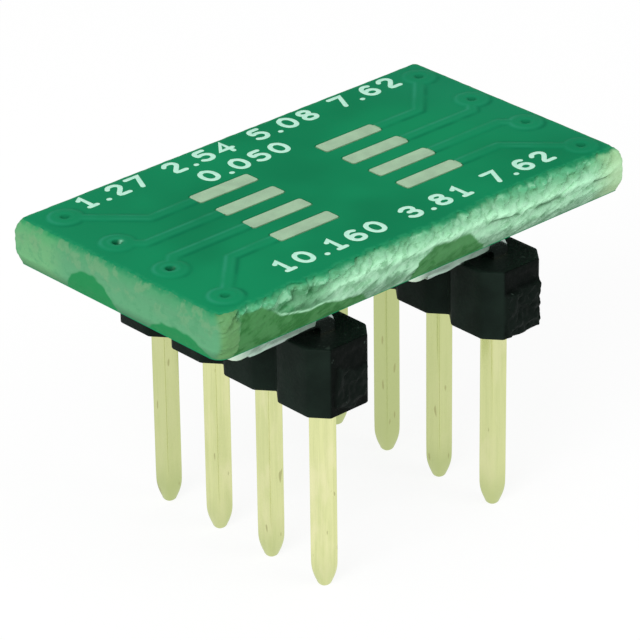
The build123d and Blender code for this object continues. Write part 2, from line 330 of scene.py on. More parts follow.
class Channel:
    """One of the eight ways from a chip pad to a pin, numbered as a chip's legs are."""

    def __init__(self, number):
        steps = number - 1
        self.number = number
        self.side = -1 if steps < PINS_PER_ROW else 1
        down = steps if self.side < 0 else 2 * PINS_PER_ROW - 1 - steps
        rank = (PINS_PER_ROW - 1) / 2 - down
        self.pin = (self.side * ROW_SPACING / 2, rank * PIN_PITCH)
        self.via = (self.side * VIA_X, rank * PIN_PITCH)
        self.pad_y = rank * CHIP_PITCH
        self.foot = 1 if down % 2 == 0 else -1

    def upper_route(self):
        """Points of the track on the upper face."""
        jog = abs(self.via[1] - self.pad_y)
        return (
            (self.side * (CHIP_PAD_OUTER - CHIP_PAD_WIDTH / 2), self.pad_y),
            (self.side * (VIA_X - jog), self.pad_y),
            self.via,
        )


CHANNELS = [Channel(number) for number in range(1, 2 * PINS_PER_ROW + 1)]


class Shade:
    """A shader value that Python arithmetic can be written on: each operation adds one Math node."""

    def __init__(self, recipe, socket):
        self.recipe = recipe
        self.socket = socket

    def math(self, operation, *others):
        return self.recipe.node("ShaderNodeMath", {"operation": operation}, dict(enumerate((self, *others))))

    def __add__(self, other):
        return self.math("ADD", other)

    def __sub__(self, other):
        return self.math("SUBTRACT", other)

    def __rsub__(self, other):
        return self.recipe.node("ShaderNodeMath", {"operation": "SUBTRACT"}, {0: other, 1: self})

    def __mul__(self, other):
        return self.math("MULTIPLY", other)

    __radd__ = __add__
    __rmul__ = __mul__


class Recipe:
    """The node tree of a material or of the world."""

    def __init__(self, owner):
        self.owner = owner
        owner.use_nodes = True
        self.tree = owner.node_tree
        self.tree.nodes.clear()

    def node(self, kind, settings=None, sockets=None, out=0):
        """Adds a node: its settings first, then the values or links of its sockets."""
        node = self.tree.nodes.new(kind)
        for name, setting in (settings or {}).items():
            if name == "stops":
                ramp = node.color_ramp.elements
                while len(ramp) < len(setting):
                    ramp.new(1.0)
                for element, (place, colour) in zip(ramp, setting):
                    element.position = place
                    element.color = (*colour, 1)
            else:
                setattr(node, name, setting)
        for key, value in (sockets or {}).items():
            if isinstance(value, Shade):
                self.tree.links.new(value.socket, node.inputs[key])
            else:
                node.inputs[key].default_value = value
        return Shade(self, node.outputs[out]) if node.outputs else None

    def place(self):
        """Object coordinates in millimetres."""
        where = self.node("ShaderNodeTexCoord", out="Object")
        return self.node("ShaderNodeVectorMath", {"operation": "MULTIPLY"}, {0: where, 1: (1 / MM,) * 3})

    def part(self, vector, axis):
        """One coordinate of a vector."""
        return self.node("ShaderNodeSeparateXYZ", None, {0: vector}, out=axis)

    def vector(self, *parts):
        """A vector of three coordinates."""
        return self.node("ShaderNodeCombineXYZ", None, dict(enumerate(parts)))

    def value(self, label):
        """A number stored on the piece's points."""
        return self.node("ShaderNodeAttribute", {"attribute_name": label}, out="Fac")

    def noise(self, vector, scale, detail=3.0, roughness=0.55, distortion=0.0):
        """Noise from 0 to 1, with this many cells to a unit of the vector."""
        sockets = {"Vector": vector, "Scale": scale, "Detail": detail}
        sockets |= {"Roughness": roughness, "Distortion": distortion}
        return self.node("ShaderNodeTexNoise", None, sockets)

    def ramp(self, value, low, high, start=0.0, end=1.0):
        """Start at low to end at high, by a cubic."""
        sockets = {"Value": value, "From Min": low, "From Max": high, "To Min": start, "To Max": end}
        return self.node("ShaderNodeMapRange", {"interpolation_type": "SMOOTHSTEP"}, sockets)

    def tones(self, value, stops):
        """A colour for a value, from stops of a value and a colour each."""
        low, high = stops[0][0], stops[-1][0]
        sockets = {"Value": value, "From Min": low, "From Max": high, "To Min": 0.0, "To Max": 1.0}
        share = self.node("ShaderNodeMapRange", None, sockets)
        spread = [((place - low) / (high - low), colour) for place, colour in stops]
        return self.node("ShaderNodeValToRGB", {"stops": spread}, {0: share})

    def mix(self, share, first, second, blend="MIX"):
        """Two colours mixed by a share."""
        sides = {6: first, 7: second}
        sides = {k: v if isinstance(v, Shade) else (*v, 1) for k, v in sides.items()}
        settings = {"data_type": "RGBA", "blend_type": blend}
        return self.node("ShaderNodeMix", settings, {0: share, **sides}, out=2)

    def scaled_tone(self, share, base, scaled_tone):
        """A colour times another colour, as far as the share says."""
        return self.mix(share, base, self.mix(1.0, base, scaled_tone, "MULTIPLY"))

    def relief(self, height, depth, strength):
        """A normal bent by a height of up to the depth in millimetres."""
        sockets = {"Height": height, "Distance": depth * MM, "Strength": strength}
        return self.node("ShaderNodeBump", None, sockets)

    def surface(self, **sockets):
        """Ends the tree in a Principled surface."""
        sockets = {key.replace("_", " "): value for key, value in sockets.items()}
        shader = self.node("ShaderNodeBsdfPrincipled", None, sockets)
        self.node("ShaderNodeOutputMaterial", None, {"Surface": shader})
        return self.owner


def new_recipe(name):
    """An empty recipe for a new material."""
    return Recipe(bpy.data.materials.new(name))


def tint(colour, *shares):
    """A colour times one share, or times a share for each of its parts."""
    shares = shares * 3 if len(shares) == 1 else shares
    return tuple(min(1.0, c * s) for c, s in zip(colour, shares))


def mask_material(colour):
    """Green film: slow drifts of tone, a painted sheen towards the back left and towards the right end,
    lighter on its rim and over the copper, lighter still on the copper's shoulders, partly as thinner film
    and partly as a painted highlight where they face the back left, a painted shadow along the copper's
    foot, painted shade in the holes with a painted glint on a hole's far wall, and a faint orange peel."""
    r = new_recipe("green_mask")
    place = r.place()
    x, y = r.part(place, 0), r.part(place, 1)
    drift = r.noise(place, 0.22, 2.0)
    base = r.mix(r.ramp(drift, 0.3, 0.7), tint(colour, 0.88), tint(colour, 1.12))
    # Painted sheen: lighter towards the back left and towards the right end
    base = r.mix(r.ramp(y * 1.2 - x, 5.0, 12.5, 0.0, 0.55), base, tint(colour, 1.5, 1.14, 1.2))
    base = r.mix(r.ramp(x + y * 0.3, 5.0, 9.0, 0.0, 0.6), base, tint(colour, 1.7, 1.0, 1.2))
    base = r.mix(r.value("track") * 0.22, base, tint(colour, 1.8, 1.16, 1.3))
    # The copper's shoulders: lighter partly as thinner film, partly as painted highlight facing the back left
    uneven = r.ramp(r.noise(place, 0.9, 2.0), 0.38, 0.6, 0.2, 0.6)
    base = r.mix(r.value("shoulder") * uneven, base, tint(colour, 4.0, 1.3, 1.8))
    # Painted shadow along the foot of the copper's slope, deepest on the side away from the back left
    base = r.mix(r.value("foot") * uneven, base, tint(colour, 0.5, 0.62, 0.7))
    speckle = r.ramp(r.noise(place, 5.0, 3.0, 0.65), 0.35, 0.6)
    base = r.mix(r.value("rim") * speckle, base, tint(colour, 3.2, 1.22, 1.3))
    # Painted shade in the sunk holes, and a painted glint on a hole's far wall
    base = r.mix(r.value("hole") * 0.95, base, tint(colour, 0.3))
    base = r.mix(r.value("glint"), base, GLINT_COLOUR)
    peel = r.noise(place, 2.6, 2.0)
    return r.surface(
        Base_Color=base,
        Roughness=r.ramp(peel, 0.2, 0.8, 0.28, 0.38),
        Specular_IOR_Level=0.002,
        Normal=r.relief(peel, 0.008, 0.35),
    )


def cut_edge_colour(r, colour, smear, height, crumbs, mottle):
    """The smooth edges: toned by height, lighter at the back, with pale mottling above and dark crumbs."""
    y, z = (r.part(r.place(), axis) for axis in (1, 2))
    cut = r.tones(height, [
        (10.2, tint(colour, 0.52)),
        (10.6, colour),
        (11.3, tint(colour, 0.92)),
        (11.62, tint(colour, 0.65, 0.88, 0.8)),
        (11.76, smear),
    ])
    cut = r.scaled_tone(r.ramp(y, 2.2, 3.4), cut, (1.35, 1.16, 1.05))
    pale = r.ramp(mottle, 0.5, 0.6, 0.0, 0.5) * r.ramp(z, 10.7, 11.3)
    cut = r.mix(pale, cut, tint(colour, 1.55, 0.98, 1.02))
    return r.mix(r.ramp(crumbs, 0.5, 0.38, 0.0, 0.4), cut, tint(colour, 0.62, 0.8, 0.74))


def snapped_edge_colour(r, colour, smear, height, crumbs, mottle, fibres):
    """The torn edge: bands by height, with a painted highlight along the web's ridge and painted shade on
    the lower slope, broken up by fibres and crumbs, painted shade near its left end above the pad's
    shadow, warmer at its right end, mask green along the top and olive at the front left corner."""
    x, z = (r.part(r.place(), axis) for axis in (0, 2))
    # Band at 11.2: painted highlight on the web's ridge. Low dark bands: painted shade on the lower slope
    torn = r.tones(height, [
        (10.2, tint(colour, 0.5)),
        (10.5, tint(colour, 0.62)),
        (10.75, colour),
        (10.97, tint(colour, 0.82)),
        (11.2, tint(colour, 1.28)),
        (11.36, tint(colour, 0.82, 0.92, 0.87)),
        (11.52, tint(colour, 0.46, 0.68, 0.57)),
        (11.65, tint(colour, 0.3, 0.64, 0.5)),
    ])
    torn = r.scaled_tone(r.ramp(fibres * 0.5 + crumbs * 0.5, 0.49, 0.42, 0.0, 0.5), torn, (0.35, 0.52, 0.38))
    light = r.ramp(fibres * 0.6 + crumbs * 0.4, 0.52, 0.58, 0.0, 0.5)
    torn = r.mix(light, torn, r.mix(0.5, torn, tint(colour, 1.6, 1.35, 1.5)))
    # Painted shade near the left end, above the foot pad's painted shadow
    upper_patch_shade = r.ramp(x, -3.8, -5.3) * r.ramp(mottle, 0.6, 0.4, 0.72, 0.97) * r.ramp(height, 11.58, 11.45)
    torn = r.scaled_tone(upper_patch_shade, torn, (0.11, 0.3, 0.17))
    torn = r.mix(r.ramp(x, 7.0, 8.5, 0.0, 0.55), torn, tint(colour, 1.3, 1.0, 0.8))
    torn = r.mix(r.ramp(z + (crumbs - 0.5) * 0.2, 11.62, 11.74), torn, smear)
    return r.mix(r.ramp(x, -7.95, -8.25, 0.0, 0.85), torn, tint(colour, 0.36, 0.45, 0.26))


def laminate_material(cut_colour, snapped_colour, mask_colour):
    """Frosted glass and epoxy: smooth with faint mottling on the cut edges, torn on the snapped one, with
    a thin dark crack, dark green or olive painted shadow where a foot pad's copper keeps light from
    passing through, and a painted highlight line along one stretch of that shadow's border."""
    r = new_recipe("glass_laminate")
    place = r.place()
    x, y, z = (r.part(place, axis) for axis in range(3))
    fibres = r.noise(r.vector(x * 1.4, y * 1.4, (z - x * FIBRE_LEAN) * 5.0), 1.0, 4.0, 0.65, 0.4)
    crumbs = r.noise(place, 3.2, 4.0, 0.65)
    mottle = r.noise(place, 1.7, 3.0, 0.55)
    smear = tint(mask_colour, 2.6, 1.08, 1.1)
    height = r.value("tone") + (crumbs - 0.5) * 0.2
    height = height + (fibres - 0.5) * 0.4 * r.value("front")
    cut = cut_edge_colour(r, cut_colour, smear, height, crumbs, mottle)
    snapped = snapped_edge_colour(r, snapped_colour, smear, height, crumbs, mottle, fibres)
    base = r.mix(r.value("front"), cut, snapped)
    base = r.mix(r.value("crack") * 0.85, base, tint(snapped_colour, 0.12, 0.2, 0.14))
    # Painted shadow of the foot pads: olive on the snapped edge, green on the cut edges
    patch = r.ramp(mottle * 0.6 + fibres * 0.4, 0.42, 0.56)
    olive = r.mix(patch, tint(snapped_colour, 0.09, 0.235, 0.09), tint(snapped_colour, 0.17, 0.33, 0.16))
    shadow = r.mix(r.value("front"), tint(cut_colour, 0.13, 0.65, 0.4), olive)
    base = r.mix(r.value("shade") * 0.96, base, shadow)
    # Painted highlight line along the shadow's border
    base = r.mix(r.value("line") * 0.9, base, tint(snapped_colour, 1.25))
    bumps = fibres * 0.6 + crumbs * 0.4
    return r.surface(
        Base_Color=base,
        Roughness=r.ramp(crumbs, 0.3, 0.7, 0.45, 0.68),
        Specular_IOR_Level=0.03,
        Normal=r.relief(bumps, 0.06, r.value("front") * 0.6 + 0.35),
    )


def pad_material(colour):
    """Thin gold over copper, pale and satin, with fine pits."""
    r = new_recipe("pad_finish")
    place = r.place()
    cloud = r.noise(place, 1.6, 3.0)
    pits = r.noise(place, 14.0, 2.0, 0.6)
    base = r.mix(r.ramp(cloud, 0.3, 0.7), tint(colour, 0.9), tint(colour, 1.08))
    base = r.mix(r.ramp(pits, 0.56, 0.72, 0.0, 0.5), base, LIGHT_PITS)
    base = r.mix(r.ramp(pits, 0.44, 0.3, 0.0, 0.45), base, DARK_PITS)
    return r.surface(
        Base_Color=base,
        Metallic=0.3,
        Roughness=r.ramp(pits, 0.3, 0.7, 0.4, 0.55),
        Normal=r.relief(pits, 0.006, 0.6),
    )


def solder_material(colour):
    """Satin solder with soft flow marks, and a painted highlight on its toe."""
    r = new_recipe("solder_finish")
    flow = r.noise(r.place(), 2.4, 3.0, 0.5, 0.4)
    base = r.mix(r.ramp(flow, 0.35, 0.65), tint(colour, 0.8), colour)
    # Painted highlight on the toe
    base = r.mix(r.value("toe") * 0.9, base, tint(colour, 1.8, 1.5, 1.5))
    return r.surface(
        Base_Color=base,
        Metallic=0.45,
        Roughness=r.ramp(flow, 0.3, 0.7, 0.3, 0.45),
        Specular_IOR_Level=0.1,
        Normal=r.relief(flow, 0.03, 0.5),
    )


def pin_material(colour):
    """Pale gold over drawn wire: broad streaks and faint die lines that follow the wire, a few dents,
    painted shade that differs from pin to pin and grows towards the tip, and tin on the bend and the
    foot, darkened as painted shade."""
    r = new_recipe("pin_finish")

    def along_wire(share):
        """Coordinates across the wire, with the length times a share."""
        return r.vector(r.value("across"), r.value("sideways"), r.value("along") * share)

    streaks = r.noise(along_wire(0.05), 5.0, 3.0, 0.6)
    clouds = r.noise(along_wire(0.35), 1.6, 3.0)
    dents = r.noise(along_wire(0.3), 3.6, 1.0)
    base = r.mix(r.ramp(streaks, 0.36, 0.64), tint(colour, 0.88, 0.9, 0.86), colour)
    base = r.mix(r.ramp(clouds, 0.42, 0.66, 0.0, 0.7), base, tint(colour, 1.1, 1.04, 1.2))
    # Painted shade, differing from pin to pin and growing towards the tip
    base = r.mix(r.value("tarnish"), base, tint(colour, 0.62, 0.68, 0.6))
    base = r.mix(r.ramp(dents, 0.7, 0.74, 0.0, 0.6), base, tint(colour, 0.42, 0.4, 0.32))
    # Tin on the bend and the foot, its colour darkened as painted shade
    base = r.mix(r.value("tinned"), base, SHADED_TIN_COLOUR)
    return r.surface(
        Base_Color=base,
        Metallic=1.0,
        Roughness=r.ramp(streaks, 0.3, 0.7, 0.24, 0.16) * (1 - r.value("tinned") * 0.5),
        Normal=r.relief(streaks, 0.006, 0.4 - r.value("tinned") * 0.35),
    )


def plastic_material(colour):
    """Black glass-filled moulding: fine grain, and a few grey scuffs and a darker tone where it was snapped,
    partly its broken surface and partly painted shade, most where an end stands back behind its stub;
    painted shade on the top, as under the board.
    """
    r = new_recipe("strip_finish")
    place = r.place()
    grain = r.noise(place, 9.0, 3.0, 0.6)
    cloud = r.noise(place, 0.9, 2.0)
    base = r.mix(r.ramp(cloud, 0.3, 0.7), tint(colour, 0.8), tint(colour, 1.25))
    torn = r.value("torn")
    # Darker ends: partly broken surface, partly painted shade; the top: painted shade as under the board
    base = r.mix(torn, base, tint(colour, 0.2))
    scuffs = r.ramp(r.noise(place, 3.4, 3.0, 0.7), 0.64, 0.74, 0.0, 0.7)
    base = r.mix(torn * scuffs, base, tint(colour, 7.0, 5.5, 6.0))
    base = r.mix(r.ramp(grain, 0.68, 0.76, 0.0, 0.3), base, tint(colour, 3.5))
    return r.surface(
        Base_Color=base,
        Roughness=r.ramp(grain, 0.3, 0.7, 0.42, 0.58),
        Specular_IOR_Level=0.04,
        Normal=r.relief(grain, 0.02, 0.5),
    )


def print_material(colour):
    """White ink, a little thin in places, so that green shows through."""
    r = new_recipe("white_print")
    thin = r.noise(r.place(), 4.5, 3.0, 0.6)
    base = r.mix(r.ramp(thin, 0.35, 0.6), tint(colour, 0.8, 0.95, 0.9), colour)
    return r.surface(
        Base_Color=base,
        Roughness=r.ramp(thin, 0.3, 0.7, 0.5, 0.65),
        Specular_IOR_Level=0.2,
        Normal=r.relief(thin, 0.006, 0.5),
    )


def dress(nodes, material):
    """Gives CAD nodes a material in place of their plain one."""
    for name in nodes:
        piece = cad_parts[name]
        if piece.material_slots:
            piece.material_slots[0].material = material
        else:
            piece.data.materials.append(material)


def round_corner(p, q, radius):
    """How far points on the two sides of a corner move on to its arc, and the arc's normal there. The
    points are given by their distances in from the two sides; one at a share t of the radius along a
    side goes to the arc's angle of 45 (1 + t) degrees."""
    share = np.clip(np.maximum(p, q) / radius, 0, 1)
    angle = pi / 4 * (1 + share)
    along = radius * (1 - np.cos(angle) - share)
    into = radius * (1 - np.sin(angle))
    first = p >= q
    moves = np.where(first, along, into), np.where(first, into, along)
    normals = np.where(first, np.cos(angle), np.sin(angle)), np.where(first, np.sin(angle), np.cos(angle))
    return moves, normals


def corner_radius(x, y):
    """The radius of the board's corner nearest to a place: the front left one is broken rounder."""
    return np.where(y > 0, BACK_CORNER, np.where(x < 0, FRONT_LEFT_CORNER, FRONT_RIGHT_CORNER))


def front_share(points):
    """1 on the front edge, which was snapped, and 0 on the left edge and beyond a strip behind the front."""
    low = node_box("top_mask")[0]
    return (1 - smooth(0.06, 0.35, points[..., 1] - low[1])) * smooth(-0.05, 0.12, points[..., 0] - low[0])


def rim_retreat(points, depth):
    """How far the mask and the laminate's corner are broken back at a place on the board's outline:
    a slow wave and chips from noise along the outline, faint on the cut edges and full on the snapped
    front edge, where one long stretch near the right end is broken back much further."""
    x, y = points[..., 0], points[..., 1]
    flat = np.stack([x, y, 0 * x], -1)
    wave = rough(flat, SLOW_WAVE, 11, 2)
    chips = rough(flat, RIM_CHIP, 23, 3)
    left = 1 - smooth(-8.6, -7.5, x)
    front = front_share(points)
    share = 0.08 + 0.92 * front + 0.3 * left * (1 - front) * (1 - smooth(4.0, 4.6, y))
    long_break = LONG_BREAK_DEPTH * front * stretch(x, *LONG_BREAK)
    return depth * share * (0.2 + 0.3 * wave + 0.8 * chips) + long_break


def board_outline():
    """Points round the board's rectangle as shares of its half sizes, with those and its centre."""
    low, high = node_box("top_mask")
    half = (high - low)[:2] / 2
    along_x, along_y = (np.linspace(-1, 1, int(2 * size / OUTLINE_STEP) + 1)[:-1] for size in half)
    one_x, one_y = np.ones(along_x.size), np.ones(along_y.size)
    sides = ((along_x, -one_x), (one_y, along_y), (-along_x, one_x), (-one_y, -along_y))
    return np.concatenate([np.stack(side, -1) for side in sides]), half, (low + high)[:2] / 2


def laminate_surface(settings):
    """The board's glass laminate: rings round the outline from the middle of the top to the middle of
    the bottom, with rounded corners. A ring's outline grows along a quarter sine down the upper groove,
    stands at the web and shrinks down the lower groove. On the snapped edge leaning noise pushes it in
    and out like torn fibres, over two ridges and a broken crack, and the top corner is broken back."""
    low, high = node_box("board_core")
    share, half, centre = board_outline()
    depth = high[2] - low[2]
    groove = (depth - WEB_THICKNESS) / 2
    level = np.concatenate([[0, 0], np.linspace(0, depth, EDGE_RINGS), [depth, depth]])
    inset = np.concatenate([[half[1], CAP_INSETS[0]], np.zeros(EDGE_RINGS), [CAP_INSETS[1], half[1]]])
    from_face = np.minimum(level, depth - level)
    bulge = np.sin(pi / 2 * np.clip(from_face / groove, 0, 1))[:, None]
    size = half + bulge * (END_STAND_OUT, WEB_STAND_OUT) - inset[:, None]
    gap = size[:, None, :] * (1 - np.abs(share))
    moves, normals = round_corner(gap[..., 0], gap[..., 1], corner_radius(share[:, 0], share[:, 1]))
    out = np.sign(share) * np.stack(normals, -1)
    opened = (inset < half[1])[:, None, None]  # the first and last ring lie closed on the middle line
    flat = centre + share * size[:, None, :] - opened * np.sign(share) * np.stack(moves, -1)
    z = np.broadcast_to((high[2] - level)[:, None, None], (*flat.shape[:2], 1))
    points = np.concatenate([flat, z], -1)
    x, z, level = points[..., 0], points[..., 2], level[:, None]
    front = front_share(points)
    shade, line = edge_shade(points)
    ground = points * (1, 1, 0)
    leaning = points - np.stack([0 * x, 0 * x, FIBRE_LEAN * x], -1)
    torn = rough(leaning, LONG_FIBRES, 5, 3) * 0.6 + rough(leaning, SHORT_FIBRES, 8, 2) * 0.5
    crumbs = rough(leaning, CRUMBS, 31, 3)
    tone = z + 0.1 * front * rough(ground, (2.3, 2.3, 1), 71, 2)
    calm = 1 - smooth(*CALM_X, x)
    ridges = sum(height * bell(tone, middle, RIDGE_WIDTH) for middle, height in RIDGES)
    crack = calm * bell(tone, CRACK_Z, CRACK_WIDTH) * smooth(*CRACK_START, x)
    crack *= front * smooth(0.0, 0.25, rough(ground, (0.7, 0.7, 1), 57, 2))
    upper = stretch(level, 0.0, 0.08, 0.35, 0.6)
    on_web = stretch(level, groove - 0.3, groove, depth - 0.25, depth)
    strength = in_mm(settings.web_roughness) * (0.25 + 0.75 * front * calm) * (1 - 0.7 * shade)
    push = strength * (0.8 * on_web * torn + 1.2 * upper * crumbs)
    push += front * (1 - shade) * (calm * ridges - CRACK_DEPTH * crack)
    push -= rim_retreat(points, in_mm(settings.rim_chips)) * bell(level, 0, 0.13 + 0.15 * front)
    push -= TOP_ROUNDING * bell(level, 0, TOP_ROUNDING_HEIGHT)
    edge = (inset == 0)[:, None]
    points[..., :2] += out * np.where(edge, push, 0)[..., None]
    return points, {"tone": tone, "shade": shade, "line": line, "front": front, "crack": crack}


def edge_shade(points):
    """The share of painted shadow: 1 where a foot pad's copper lies just behind the edge and keeps light
    from passing through the laminate, 0 elsewhere, under a measured border; and the share of a painted
    highlight line along one stretch of that border."""
    low, high = node_box("top_mask")
    x, y, z = (points[..., k] for k in range(3))
    z = z + 0.05 * rough(points, (0.4, 0.4, 0.2), 41, 2)
    total = np.zeros(x.shape)
    for turn, nearest in ((1, low), (-1, -high)):
        sides = ((turn * x, turn * y, nearest[1], FRONT_SHADE), (turn * y, turn * x, nearest[0], LEFT_SHADE))
        for along, across, limit, border in sides:
            below = 1 - smooth(-0.05, 0.05, z - np.interp(along, *border))
            total = np.maximum(total, below * (1 - smooth(0.1, 0.3, across - limit)))
    line = bell(z - np.interp(x, *FRONT_SHADE), 0.02, 0.03) * front_share(points) * stretch(x, *HIGHLIGHT_STRETCH)
    return total, line


def graded(stops, step):
    """Lines through every stop, with even lines between them no further apart than the step."""
    stops = np.unique(np.round(stops, 6))
    runs = []
    for start, end in zip(stops, stops[1:]):
        count = max(1, int(np.ceil((end - start) / step)))
        runs.append(np.linspace(start, end, count + 1)[:-1])
    return np.concatenate([*runs, stops[-1:]])


def off_segment(x, y, start, end):
    """Distance from each point to the nearest point of a straight run."""
    (ax, ay), (bx, by) = start, end
    run = (bx - ax) ** 2 + (by - ay) ** 2
    t = np.clip(((x - ax) * (bx - ax) + (y - ay) * (by - ay)) / run, 0, 1)
    return np.hypot(x - ax - t * (bx - ax), y - ay - t * (by - ay))


def off_copper(x, y):
    """Distance from each point to the nearest covered track or land, below zero over the copper."""
    nearest = np.full(x.shape, np.inf)
    for channel in CHANNELS:
        route = channel.upper_route()
        for start, end in zip(route, route[1:]):
            nearest = np.minimum(nearest, off_segment(x, y, start, end) - TRACK_WIDTH / 2)
        vx, vy = channel.via
        nearest = np.minimum(nearest, np.hypot(x - vx, y - vy) - LAND_WIDTH / 2)
    return nearest


def round_windows(x, y, ends, pad_ys, half_window):
    """Moves the grid's points near each window's corners on to an arc; outside the window the move
    fades as exp(-distance / fade)."""
    for sign in (-1, 1):
        for end, inward in ((ends[0], sign), (ends[1], -sign)):
            for pad_y in pad_ys:
                for up in (-1, 1):
                    p = inward * (x - sign * end)
                    q = -up * (y - pad_y - up * half_window)
                    (move_p, move_q), _ = round_corner(p, q, PAD_CORNER + MASK_CLEARANCE)
                    outside = np.hypot(np.minimum(p, 0), np.minimum(q, 0))
                    fade = np.exp(-outside / WINDOW_FADE) * (np.minimum(p, q) < 1e-6)
                    x += inward * fade * move_p
                    y -= up * fade * move_q


def slab_faces(solid, xs, ys):
    """Quads of a slab over the solid cells of a grid: its top, its underside, and a wall wherever a cell
    has no solid neighbour. The underside's points follow the top's."""
    count = xs.size * ys.size
    i, j = np.meshgrid(np.arange(xs.size - 1), np.arange(ys.size - 1), indexing="ij")

    def corner(step_x, step_y):
        """The number of each cell's corner."""
        return (i + step_x) * ys.size + j + step_y

    inner = solid[1:-1, 1:-1]
    top = np.stack([corner(0, 0), corner(1, 0), corner(1, 1), corner(0, 1)], -1)[inner]
    quads = [top, top[:, ::-1] + count]
    sides = (
        ((0, 0), (1, 0), solid[1:-1, :-2]),
        ((1, 0), (1, 1), solid[2:, 1:-1]),
        ((1, 1), (0, 1), solid[1:-1, 2:]),
        ((0, 1), (0, 0), solid[:-2, 1:-1]),
    )
    for first, second, beyond in sides:
        a, b = corner(*first), corner(*second)
        quads.append(np.stack([b, a, a + count, b + count], -1)[inner & ~beyond])
    return np.concatenate(quads)


def mask_surface(settings):
    """The upper mask: a height over a grid whose lines pass along every window. The height is the film,
    raised by a cubic of the distance to the copper, with a round dip at each hole; the rim is pulled in
    by the same chips as the laminate's. The underside is the same surface one film lower."""
    low, high = node_box("top_mask")
    face = node_box("board_core")[1][2]
    pad_ys = np.unique([channel.pad_y for channel in CHANNELS])
    half_window = CHIP_PAD_WIDTH / 2 + MASK_CLEARANCE
    ends = np.array([CHIP_PAD_INNER - MASK_CLEARANCE, CHIP_PAD_OUTER + MASK_CLEARANCE])
    holes = np.array([channel.via for channel in CHANNELS])
    near_x, near_y = ((np.unique(holes[:, k])[:, None] + HOLE_LINES).ravel() for k in range(2))
    xs = graded([low[0], high[0], *ends, *-ends, *near_x], MASK_STEP)
    ys = graded([low[1], high[1], *(pad_ys - half_window), *(pad_ys + half_window), *near_y], MASK_STEP)
    x, y = np.meshgrid(xs, ys, indexing="ij")
    centre, half = (low + high)[:2] / 2, (high - low)[:2] / 2
    edge_x, edge_y = np.where(x < centre[0], low[0], high[0]), np.where(y < centre[1], low[1], high[1])
    chips = in_mm(settings.rim_chips)
    retreats = [rim_retreat(np.stack(place, -1), chips) + RIM_SETBACK for place in ((edge_x, y), (x, edge_y))]
    gaps = half[0] - np.abs(x - centre[0]), half[1] - np.abs(y - centre[1])
    border = np.minimum(*gaps)
    moves, _ = round_corner(*gaps, corner_radius(x, y))
    signs = np.sign(x - centre[0]), np.sign(y - centre[1])
    for grid, gap, sign, move, retreat in zip((x, y), gaps, signs, moves, retreats):
        pulled = retreat * np.clip(1 - gap / RIM_REACH, 0, 1) ** 2
        grid -= sign * (pulled + move * np.exp(-border / CORNER_FADE))

    away = off_copper(x, y)
    slope_x, slope_y = np.gradient(away, xs, ys)
    # How far a point faces the back left: painted highlight on shoulders, painted shadow at the foot
    lit = np.clip(0.5 + 0.5 * slope_y - 0.4 * slope_x, 0, 1)  # the shoulders that face the back left
    raised = 1 - smooth(*COPPER_SLOPE, away)
    z = face + MASK_FILM + COPPER_FOIL * raised
    hole_shade, glint, ring = (np.zeros(x.shape) for _ in range(3))
    for channel in CHANNELS:
        number = channel.number
        dx, dy = x - channel.via[0], y - channel.via[1]
        from_hole = np.hypot(dx, dy)
        sunk = SUNK_HOLES.get(number, SUNK_ELSEWHERE)
        z -= in_mm(settings.dimple_depth) * sunk * bell(from_hole, 0, DIMPLE_RADIUS, 6)
        z += LIP_HEIGHT * bell(from_hole, LIP_RADIUS, LIP_WIDTH)
        # painted shade inside the sunk mask
        hole_shade += smooth(0.0, 0.9, sunk) * bell(from_hole, 0, HOLE_SHADE_RADIUS, 6)
        ring += BRIGHT_RINGS.get(number, BRIGHT_ELSEWHERE) * bell(from_hole, RING_RADIUS, RING_WIDTH)
        spot = bell(dx, GLINT_PLACE[0], GLINT_SIZE[0]) * bell(dy, GLINT_PLACE[1], GLINT_SIZE[1])
        glint += GLINTS.get(number, 0.0) * spot
    z += MASK_WAVE * rough(np.stack([x, y, 0 * x], -1), SLOW_WAVE, 3, 2)
    round_windows(x, y, ends, pad_ys, half_window)
    z -= RIM_FALL * bell(border, 0, RIM_FALL_WIDTH)
    top = np.stack([x, y, z], -1).reshape(-1, 3)

    mid_x, mid_y = (xs[1:] + xs[:-1]) / 2, (ys[1:] + ys[:-1]) / 2
    in_x = (np.abs(mid_x) > ends[0]) & (np.abs(mid_x) < ends[1])
    in_y = (np.abs(mid_y[:, None] - pad_ys[None, :]) < half_window).any(axis=1)
    faces = slab_faces(np.pad(~(in_x[:, None] & in_y[None, :]), 1), xs, ys)
    values = {
        "track": raised,
        # thinner film on shoulders and round holes, with painted highlight where they face the back left
        "shoulder": (0.25 + lit) * bell(away, *THIN_FILM_AND_HIGHLIGHT) + ring,
        # painted shadow along the copper's foot
        "foot": (1.1 - lit) * bell(away, *FOOT_SHADOW),
        "rim": 1 - smooth(0.0, 0.2, border),
        "hole": hole_shade,
        "glint": np.clip(glint, 0, 1),
    }
    values = {name: np.concatenate([v.ravel()] * 2) for name, v in values.items()}
    return np.concatenate([top, top - (0, 0, MASK_FILM)]), faces, values


